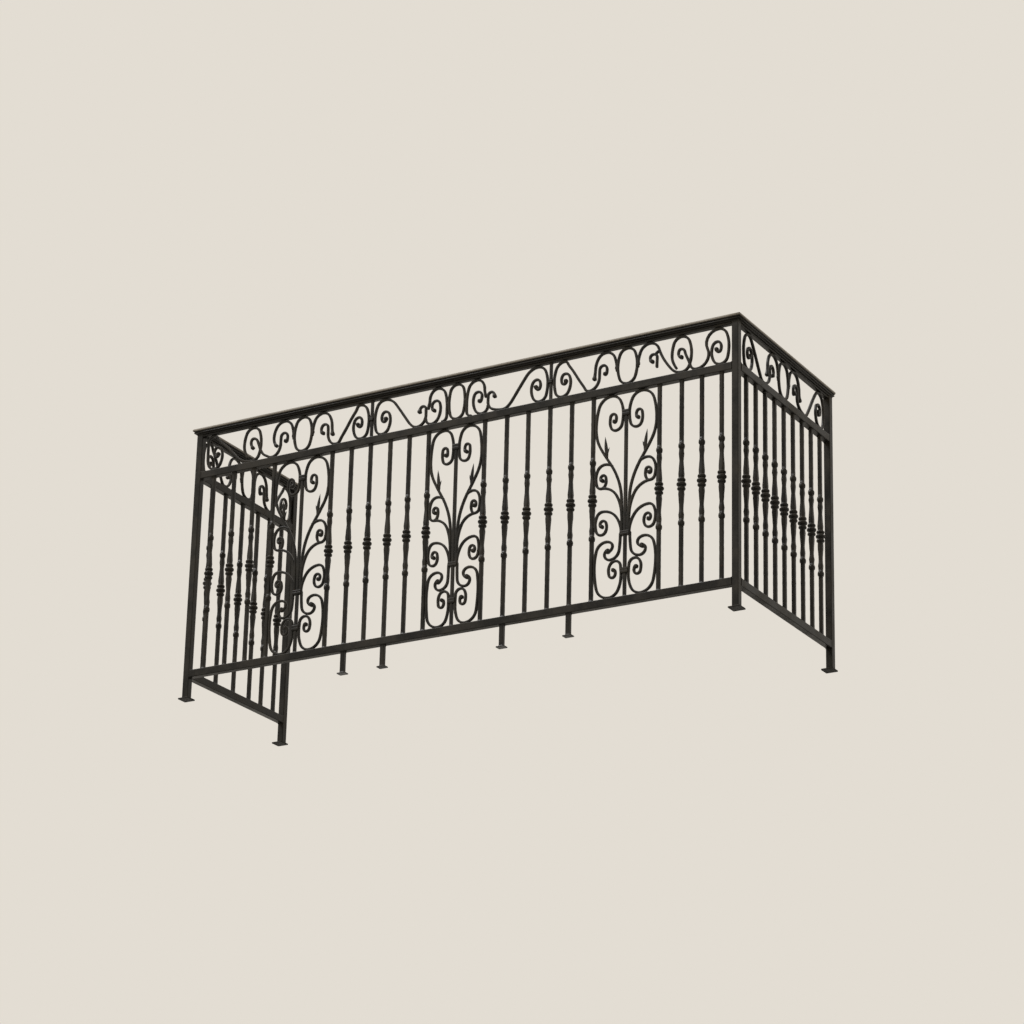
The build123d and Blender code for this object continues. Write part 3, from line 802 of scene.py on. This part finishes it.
def frieze_bar_grids():
    """The two short square bars between the front's friezes, each with a grooved knob at its middle."""
    grids = []
    z, knob = (MIDDLE_RAIL_TOP + TOP_BAR_UNDER) / 2, FRIEZE_KNOB * MM
    for x in FRIEZE_BARS_X:
        x *= STRETCH
        grids.append(square_bar(x, MIDDLE_RAIL_TOP, TOP_BAR_UNDER, FRIEZE_BAR * MM, BAR_CORNER * MM))
        grids.append(collar_grid("front", x, z, knob, FRIEZE_KNOB_TALL * MM, knob))
    return grids


# Materials
def add_node(tree, kind, inputs=None, **settings):
    """Adds one node with its properties; each input is a value, or another node's output to link."""
    node = tree.nodes.new(kind)
    for name, value in settings.items():
        setattr(node, name, value)
    for name, value in (inputs or {}).items():
        if isinstance(value, bpy.types.NodeSocket):
            tree.links.new(value, node.inputs[name])
        else:
            node.inputs[name].default_value = value
    return node


def math_output(tree, operation, *values):
    """Result of one math node; each value is a number or another node's output."""
    return add_node(tree, "ShaderNodeMath", dict(enumerate(values)), operation=operation).outputs[0]


def linear(code):
    """Turns an sRGB hex colour into linear red, green, blue and full alpha."""
    parts = [int(code[k : k + 2], 16) / 255 for k in (1, 3, 5)]
    return (*[c / 12.92 if c <= 0.04045 else ((c + 0.055) / 1.055) ** 2.4 for c in parts], 1.0)


# Real sizes of the patterns, in millimetres
PATCH_MM = 110
GRIME_MM = 5.3
RUN_WIDE_MM, RUN_TALL_MM = 8, 170
PIT_MM = 17
BRUSH_MM = 1.1


def painted_iron(name, hammer_mm, hammer_strength, chalked, dusty, rubbed_and_sheen, rusty, roughness):
    """Near-black alkyd paint on iron: chalked patches, rain runs, dust on top, rust in pits, pale worn edges
    that also carry a painted highlight, and painted shade on faces that look down.

    hammer_mm is the size of the hammer marks or orange peel under the paint, and the next four values are the
    shares of the chalk, the dust, the pale edge (worn paint and a painted highlight) and the rust. Patterns
    read
    Object coordinates.
    """
    paint = colours()
    material = bpy.data.materials.new(name)
    material.use_nodes = True
    tree = material.node_tree
    shader = tree.nodes["Principled BSDF"]
    # Old alkyd paint: the index of its binder, with the weak reflection of a weathered skin
    shader.inputs["IOR"].default_value = 1.5
    shader.inputs["Specular IOR Level"].default_value = 0.2
    place = add_node(tree, "ShaderNodeTexCoord").outputs["Object"]
    # The runs' pattern is drawn out down the iron
    run_scale = (1.0, 1.0, RUN_WIDE_MM / RUN_TALL_MM)
    drawn_out = add_node(tree, "ShaderNodeMapping", {"Vector": place, "Scale": run_scale}).outputs["Vector"]
    patterns = {}
    for pattern, size_mm, detail, source in (
        ("patches", PATCH_MM, 5.0, place),
        ("grime", GRIME_MM, 4.0, place),
        ("runs", RUN_WIDE_MM, 3.0, drawn_out),
        ("pits", PIT_MM, 6.0, place),
        ("marks", hammer_mm, 2.0, place),
        ("brush", BRUSH_MM, 2.0, place),
    ):
        inputs = {"Vector": source, "Scale": 1000 / size_mm, "Detail": detail, "Roughness": 0.62}
        patterns[pattern] = add_node(tree, "ShaderNodeTexNoise", inputs).outputs["Fac"]
    normal = add_node(tree, "ShaderNodeNewGeometry").outputs["Normal"]
    patterns["tilt"] = add_node(tree, "ShaderNodeSeparateXYZ", {"Vector": normal}).outputs["Z"]
    patterns["height"] = add_node(tree, "ShaderNodeSeparateXYZ", {"Vector": place}).outputs["Z"]
    # Each mask goes from 0 to 1 between two values of its pattern
    masks = {}
    for mask, pattern, start, end in (
        ("chalk", "patches", 0.38, 0.68),
        ("speckle", "grime", 0.40, 0.66),
        ("run", "runs", 0.50, 0.72),
        ("pit", "pits", 0.66, 0.74),
        ("top", "tilt", 0.45, 0.98),
        # The nosing band, kept off the top face, takes the pale edge: worn paint and a painted highlight
        # along the nosing
        ("nosing", "height", CAP_TOP - NOSING_TALL, CAP_TOP - 0.8 * NOSING_TALL),
        ("not_top", "tilt", 0.995, 0.93),
        # Faces that look down, for the painted shade under things
        ("under", "tilt", -0.15, -0.7),
    ):
        inputs = {"Value": patterns[pattern], "From Min": start, "From Max": end}
        step = add_node(tree, "ShaderNodeMapRange", inputs, interpolation_type="SMOOTHSTEP")
        masks[mask] = step.outputs["Result"]
    # The pale edge: worn paint and a painted highlight on the handrail's nosing
    masks["edge"] = math_output(tree, "MULTIPLY", masks["nosing"], masks["not_top"])
    # Dust, and the rubbing with its painted highlight, are uneven: where there is no speckle, they lose 0.3
    # of their share
    uneven = math_output(tree, "MULTIPLY_ADD", masks["speckle"], 0.3, 0.7)
    for mask in ("top", "edge"):
        masks[mask] = math_output(tree, "MULTIPLY", masks[mask], uneven)
    colour = linear(paint.paint)
    for mask, share, over in (
        ("chalk", chalked, paint.paint_worn),
        ("speckle", 0.35 * chalked, paint.grime),
        ("run", 0.3 * chalked, paint.run),
        ("pit", rusty, paint.rust),
        ("top", dusty, paint.dust),
        # Pale edge: worn paint and a painted highlight along the handrail's nosing
        ("edge", rubbed_and_sheen, paint.rubbed_and_sheen),
        # Faces that look down get no dust and are painted darkest: painted shade under things
        ("under", 0.85, paint.run),
    ):
        layer = math_output(tree, "MULTIPLY", masks[mask], share)
        inputs = {0: layer, 6: colour, 7: linear(over)}
        colour = add_node(tree, "ShaderNodeMix", inputs, data_type="RGBA").outputs[2]
    tree.links.new(colour, shader.inputs["Base Color"])
    # Satin where the paint is sound, duller where it is chalked or dusty
    rough = roughness
    for mask, duller in (("chalk", 0.2), ("top", 0.25)):
        rough = math_output(tree, "MULTIPLY_ADD", masks[mask], duller, rough)
    tree.links.new(rough, shader.inputs["Roughness"])
    inputs = {"Height": patterns["marks"], "Strength": hammer_strength, "Distance": 0.6 * MM}
    coarse = add_node(tree, "ShaderNodeBump", inputs).outputs["Normal"]
    inputs = {"Height": patterns["brush"], "Normal": coarse, "Strength": 0.15, "Distance": 0.15 * MM}
    fine = add_node(tree, "ShaderNodeBump", inputs).outputs["Normal"]
    tree.links.new(fine, shader.inputs["Normal"])
    return material


FINISHES = {
    # Drawn square tube: smooth, with faint orange peel
    "painted_iron": dict(
        name="satin_paint_on_steel_tube", hammer_mm=14.0, hammer_strength=0.15,
        chalked=0.7, dusty=0.6, rubbed_and_sheen=0.0, rusty=0.5, roughness=0.32,
    ),
    # Rolled handrail moulding: rubbed pale by hands along both nosings, with a painted highlight there, dusty
    # on top
    "handrail_iron": dict(
        name="rubbed_and_sheen_paint_on_rolled_moulding", hammer_mm=18.0, hammer_strength=0.12,
        chalked=0.6, dusty=0.6, rubbed_and_sheen=0.9, rusty=0.35, roughness=0.32,
    ),
    # Forged bars: hammer marks of about 8 mm show through the paint
    "baluster_iron": dict(
        name="brushed_paint_on_forged_bar", hammer_mm=8.0, hammer_strength=0.4,
        chalked=0.7, dusty=0.8, rubbed_and_sheen=0.0, rusty=0.6, roughness=0.3,
    ),
    # Scrolls bent from flat bar: finer hammer marks, browner where grime sits
    "scroll_iron": dict(
        name="brushed_paint_on_bent_flat_bar", hammer_mm=6.0, hammer_strength=0.45,
        chalked=0.8, dusty=0.6, rubbed_and_sheen=0.0, rusty=0.8, roughness=0.34,
    ),
    # Plates on the stone: weathered, with rust at the welds
    "plate_iron": dict(
        name="weathered_paint_on_base_plate", hammer_mm=10.0, hammer_strength=0.3,
        chalked=0.9, dusty=0.8, rubbed_and_sheen=0.0, rusty=1.0, roughness=0.6,
    ),
}


def paint_of(slot):
    """The paint of a material slot, made once."""
    finish = FINISHES[slot]
    return bpy.data.materials.get(finish["name"]) or painted_iron(**finish)


# Stage: the camera is fitted to the photo, in its pixels, degrees and metres
PICTURE_PIXELS = 1024
FOCAL_PIXELS = 3200.0
SHIFT_UP_PIXELS = 100
SENSOR_MM = 36
CAMERA_PLACE = (5.5405, -9.2900, -3.5339)
CAMERA_YAW, CAMERA_PITCH, CAMERA_ROLL = 30.636, 19.416, 1.377
FLOOR_HALF = 60.0
FLOOR_CLEAR = 3 * MM
PALE = "#E3DDD3"
SKY = "#EFEBE4"
SKY_STRENGTH = 0.42
# Place, strength and angle of each sun: a wide one overhead for soft even light on the floor, and a smaller
# one from the front left that gives the paint its highlights
SUNS = {
    "overhead": ((-0.3, 0.2, 0.9), 0.8, 60),
    "front": ((-0.5, -0.5, 0.75), 1.3, 16),
}


def floor_finish():
    """Plain matt floor, clear from below, because the camera looks up at the railing from under its floor.

    It is also clear to a ray that starts within 3 mm of it, so that the undersides of the plates get light.
    """
    material = bpy.data.materials.new("matt_pale_floor")
    material.use_nodes = True
    tree = material.node_tree
    tree.nodes.clear()
    matt = add_node(tree, "ShaderNodeBsdfDiffuse", {"Color": linear(PALE)}).outputs[0]
    clear = add_node(tree, "ShaderNodeBsdfTransparent").outputs[0]
    below = add_node(tree, "ShaderNodeNewGeometry").outputs["Backfacing"]
    ray = add_node(tree, "ShaderNodeLightPath").outputs["Ray Length"]
    close = math_output(tree, "LESS_THAN", ray, FLOOR_CLEAR)
    through = math_output(tree, "MAXIMUM", below, close)
    mix = add_node(tree, "ShaderNodeMixShader", {0: through, 1: matt, 2: clear}).outputs[0]
    add_node(tree, "ShaderNodeOutputMaterial", {"Surface": mix})
    return material


def pale_sky():
    """World that lights the railing softly, with a plain backdrop for the camera and for reflections."""
    world = bpy.data.worlds.new("pale_sky")
    world.use_nodes = True
    tree = world.node_tree
    tree.nodes.clear()
    path = add_node(tree, "ShaderNodeLightPath")
    seen = path.outputs["Is Camera Ray"]
    for ray in ("Is Glossy Ray", "Is Transmission Ray"):
        seen = math_output(tree, "MAXIMUM", seen, path.outputs[ray])
    inputs = {"Color": linear(SKY), "Strength": SKY_STRENGTH}
    light = add_node(tree, "ShaderNodeBackground", inputs).outputs[0]
    inputs = {"Color": linear(PALE), "Strength": 1.0}
    back = add_node(tree, "ShaderNodeBackground", inputs).outputs[0]
    mix = add_node(tree, "ShaderNodeMixShader", {0: seen, 1: light, 2: back}).outputs[0]
    add_node(tree, "ShaderNodeOutputWorld", {"Surface": mix})
    return world


# Operators
class RAILING_OT_tubes(bpy.types.Operator):
    """Makes the posts, rails and top bars as square tubes with rounded corners and weld beads"""

    bl_idname = "railing.tubes"
    bl_label = "Posts and rails"

    def execute(self, context):
        for node, grid in tube_grids().items():
            skin(f"{node}_tube", [grid], [node])
        return {"FINISHED"}


class RAILING_OT_plates(bpy.types.Operator):
    """Makes the base plates with a weld fillet round each post, and the short feet under the front rail"""

    bl_idname = "railing.plates"
    bl_label = "Plates and feet"

    def execute(self, context):
        for node in [name for name in frame["nodes"] if "_post_plate_" in name]:
            skin(f"{node}_welded", [plate_grid(node), fillet_grid(node)], [node])
        skin("rail_feet_welded", feet_grids(), ["rail_feet"])
        return {"FINISHED"}


class RAILING_OT_handrail(bpy.types.Operator):
    """Makes the moulded handrail as one mitred moulding over the front and both returns"""

    bl_idname = "railing.handrail"
    bl_label = "Handrail"

    def execute(self, context):
        skin("handrail_moulding", [handrail_grid()], ["handrail_front", "handrail_left", "handrail_right"])
        return {"FINISHED"}


class RAILING_OT_balusters(bpy.types.Operator):
    """Makes every group of forged balusters, with three-ring knuckles and a swelling and a bead each side"""

    bl_idname = "railing.balusters"
    bl_label = "Balusters"

    def execute(self, context):
        for node, places in bar_places().items():
            grids = [baluster_grid(x, y, 1.7 * k + len(node)) for k, (x, y) in enumerate(places)]
            skin(f"{node}_forged", grids, [node])
        return {"FINISHED"}


class RAILING_OT_panels(bpy.types.Operator):
    """Makes the three scroll panels: centre bar, scrolls with swollen eyes, leaves and wrapped collars"""

    bl_idname = "railing.panels"
    bl_label = "Scroll panels"

    def execute(self, context):
        for number in (1, 2, 3):
            node = f"panel_{number}_centre_bar"
            bar = square_bar(centre(node)[0], low(node)[2], high(node)[2], CENTRE_BAR * MM, BAR_CORNER * MM)
            skin(f"{node}_forged", [bar], [node])
            node = f"panel_{number}_scrolls"
            skin(f"{node}_forged", panel_grids(number), [node])
        return {"FINISHED"}


class RAILING_OT_friezes(bpy.types.Operator):
    """Makes the scrollwork between the middle rail and the top bar, and its two knobbed bars"""

    bl_idname = "railing.friezes"
    bl_label = "Friezes"

    def execute(self, context):
        for node, (ring_at, ring_width, motifs) in front_friezes().items():
            skin(f"{node}_forged", frieze_grids("front", ring_at, ring_width, motifs), [node])
        for side in SIDES:
            skin(f"frieze_{side}_forged", return_frieze_grids(side), [f"frieze_{side}"])
        skin("frieze_bars_forged", frieze_bar_grids(), ["frieze_bars"])
        return {"FINISHED"}


class RAILING_OT_stage(bpy.types.Operator):
    """Sets the camera, the pale floor and backdrop, and plain soft light"""

    bl_idname = "railing.stage"
    bl_label = "Stage"

    def execute(self, context):
        scene = context.scene
        scene.view_settings.view_transform = "Standard"
        data = bpy.data.cameras.new("camera")
        data.lens = FOCAL_PIXELS / PICTURE_PIXELS * SENSOR_MM
        data.shift_y = SHIFT_UP_PIXELS / PICTURE_PIXELS
        camera = bpy.data.objects.new("camera", data)
        scene.collection.objects.link(camera)
        turn = (
            Matrix.Rotation(np.radians(CAMERA_YAW), 4, "Z")
            @ Matrix.Rotation(np.radians(90 + CAMERA_PITCH), 4, "X")
            @ Matrix.Rotation(np.radians(CAMERA_ROLL), 4, "Z")
        )
        camera.matrix_world = Matrix.Translation(CAMERA_PLACE) @ turn
        scene.camera = camera

        mesh = bpy.data.meshes.new("floor")
        corners = [(x * FLOOR_HALF, y * FLOOR_HALF, 0.0) for x, y in ((-1, -1), (1, -1), (1, 1), (-1, 1))]
        mesh.from_pydata(corners, [], [(0, 1, 2, 3)])
        mesh.materials.append(floor_finish())
        floor = bpy.data.objects.new("floor", mesh)
        scene.collection.objects.link(floor)

        scene.world = pale_sky()
        for name, (origin, strength, angle) in SUNS.items():
            lamp_data = bpy.data.lights.new(name, "SUN")
            lamp_data.energy = strength
            lamp_data.angle = np.radians(angle)
            lamp = bpy.data.objects.new(name, lamp_data)
            lamp.location = Vector(origin) * 5
            lamp.rotation_euler = Vector(origin).to_track_quat("Z", "Y").to_euler()
            scene.collection.objects.link(lamp)
        return {"FINISHED"}


class RAILING_PT_panel(bpy.types.Panel):
    """Lists the sizes, the colours and the steps that dress the railing"""

    bl_idname = "RAILING_PT_panel"
    bl_label = "Iron Balcony Railing"
    bl_space_type = "VIEW_3D"
    bl_region_type = "UI"
    bl_category = "Railing"

    def draw(self, context):
        layout = self.layout
        for group in (context.scene.railing_sizes, context.scene.railing_colours):
            for name in group.bl_rna.properties.keys():
                if name not in ("rna_type", "name"):
                    layout.prop(group, name)
        for step in STEPS:
            layout.operator(step.bl_idname)


STEPS = (
    RAILING_OT_tubes,
    RAILING_OT_plates,
    RAILING_OT_handrail,
    RAILING_OT_balusters,
    RAILING_OT_panels,
    RAILING_OT_friezes,
    RAILING_OT_stage,
)
CLASSES = (RailingSizes, RailingColours, *STEPS, RAILING_PT_panel)


def register():
    """Registers the classes and ties the sizes and colours to the scene."""
    for cls in CLASSES:
        bpy.utils.register_class(cls)
    bpy.types.Scene.railing_sizes = bpy.props.PointerProperty(type=RailingSizes)
    bpy.types.Scene.railing_colours = bpy.props.PointerProperty(type=RailingColours)


def unregister():
    """Undoes register, in the reverse order."""
    del bpy.types.Scene.railing_colours
    del bpy.types.Scene.railing_sizes
    for cls in reversed(CLASSES):
        bpy.utils.unregister_class(cls)


def main():
    """Dresses the railing step by step."""
    register()
    bpy.ops.railing.tubes()
    bpy.ops.railing.plates()
    bpy.ops.railing.handrail()
    bpy.ops.railing.balusters()
    bpy.ops.railing.panels()
    bpy.ops.railing.friezes()
    bpy.ops.railing.stage()


if __name__ == "__main__":
    main()
